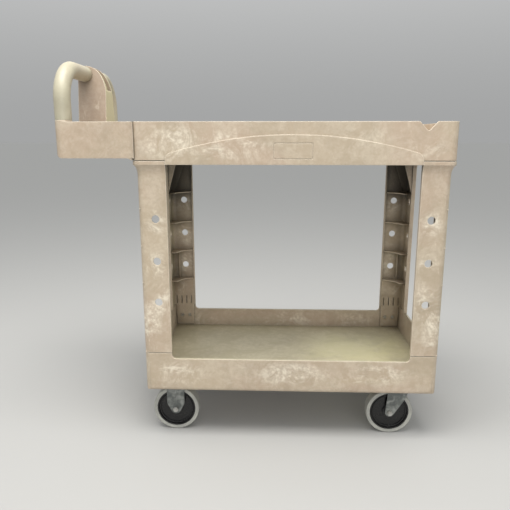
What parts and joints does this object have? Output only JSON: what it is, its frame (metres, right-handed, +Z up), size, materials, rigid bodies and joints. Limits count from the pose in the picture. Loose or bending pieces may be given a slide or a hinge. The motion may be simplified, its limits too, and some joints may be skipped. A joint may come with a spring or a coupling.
{
  "type": "rolling utility cart",
  "caption": "Two-shelf utility cart in tan moulded plastic with deep trays, L-shaped corner uprights, a raised hooped handle and fixed and swivel casters.",
  "frame": {"origin": "on the ground, under the middle of the whole length and width", "axes": "+X from the handle end to the far end, +Y to the rear side, +Z up"},
  "size_m": [0.991, 0.454, 1.001],
  "materials": {
    "shelf_plastic": "moulded, lightly textured",
    "upright_plastic": "moulded, lightly textured",
    "handle_plastic": "smooth, worn glossy by hands",
    "post_plastic": "moulded, lightly textured",
    "tyre_rubber": "smooth grey rubber",
    "core_plastic": "black moulded core",
    "bush_bronze": "dull sintered bronze",
    "zinc_steel": "dull zinc coat on pressed steel",
    "bright_steel": "bright zinc"
  },
  "bodies": {
    "chassis": {"top_shelf": "shelf_plastic", "bottom_shelf": "shelf_plastic", "handle_hoop_front": "handle_plastic", "handle_hoop_rear": "handle_plastic", "handle_post": "post_plastic", "handle_screws": "bright_steel", "upright_front_handle": "upright_plastic", "upright_rear_handle": "upright_plastic", "upright_front_far": "upright_plastic", "upright_rear_far": "upright_plastic", "upright_head_screws": "bright_steel", "upright_foot_screws": "bright_steel", "fixed_front_fork": "zinc_steel", "fixed_front_axle_bolt": "bright_steel", "fixed_front_axle_nut": "bright_steel", "fixed_front_axle_sleeve": "bright_steel", "fixed_front_plate_screws": "bright_steel", "fixed_rear_fork": "zinc_steel", "fixed_rear_axle_bolt": "bright_steel", "fixed_rear_axle_nut": "bright_steel", "fixed_rear_axle_sleeve": "bright_steel", "fixed_rear_plate_screws": "bright_steel", "swivel_front_top_plate": "zinc_steel", "swivel_front_plate_screws": "bright_steel", "swivel_front_king_pin": "bright_steel", "swivel_front_balls": "bright_steel", "swivel_rear_top_plate": "zinc_steel", "swivel_rear_plate_screws": "bright_steel", "swivel_rear_king_pin": "bright_steel", "swivel_rear_balls": "bright_steel"},
    "swivel_front": {"swivel_front_fork": "zinc_steel", "swivel_front_axle_bolt": "bright_steel", "swivel_front_axle_nut": "bright_steel", "swivel_front_axle_sleeve": "bright_steel"},
    "swivel_rear": {"swivel_rear_fork": "zinc_steel", "swivel_rear_axle_bolt": "bright_steel", "swivel_rear_axle_nut": "bright_steel", "swivel_rear_axle_sleeve": "bright_steel"},
    "wheel_fixed_front": {"fixed_front_tyre": "tyre_rubber", "fixed_front_wheel_core": "core_plastic", "fixed_front_bush": "bush_bronze"},
    "wheel_fixed_rear": {"fixed_rear_tyre": "tyre_rubber", "fixed_rear_wheel_core": "core_plastic", "fixed_rear_bush": "bush_bronze"},
    "wheel_swivel_front": {"swivel_front_tyre": "tyre_rubber", "swivel_front_wheel_core": "core_plastic", "swivel_front_bush": "bush_bronze"},
    "wheel_swivel_rear": {"swivel_rear_tyre": "tyre_rubber", "swivel_rear_wheel_core": "core_plastic", "swivel_rear_bush": "bush_bronze"}
  },
  "joints": [
    {"name": "swivel_front_turn", "type": "hinge", "parent": "chassis", "child": "swivel_front", "pos_m": [0.408, -0.165, 0.16], "axis": [0, 0, 1], "continuous": true},
    {"name": "wheel_swivel_front_spin", "type": "hinge", "parent": "swivel_front", "child": "wheel_swivel_front", "pos_m": [0.374, -0.165, 0.0635], "axis": [0, 1, 0], "continuous": true},
    {"name": "wheel_fixed_front_spin", "type": "hinge", "parent": "chassis", "child": "wheel_fixed_front", "pos_m": [-0.2205, -0.165, 0.0635], "axis": [0, 1, 0], "continuous": true},
    {"name": "swivel_rear_turn", "type": "hinge", "parent": "chassis", "child": "swivel_rear", "pos_m": [0.408, 0.165, 0.16], "axis": [0, 0, 1], "continuous": true},
    {"name": "wheel_swivel_rear_spin", "type": "hinge", "parent": "swivel_rear", "child": "wheel_swivel_rear", "pos_m": [0.374, 0.165, 0.0635], "axis": [0, 1, 0], "continuous": true},
    {"name": "wheel_fixed_rear_spin", "type": "hinge", "parent": "chassis", "child": "wheel_fixed_rear", "pos_m": [-0.2205, 0.165, 0.0635], "axis": [0, 1, 0], "continuous": true}
  ]
}
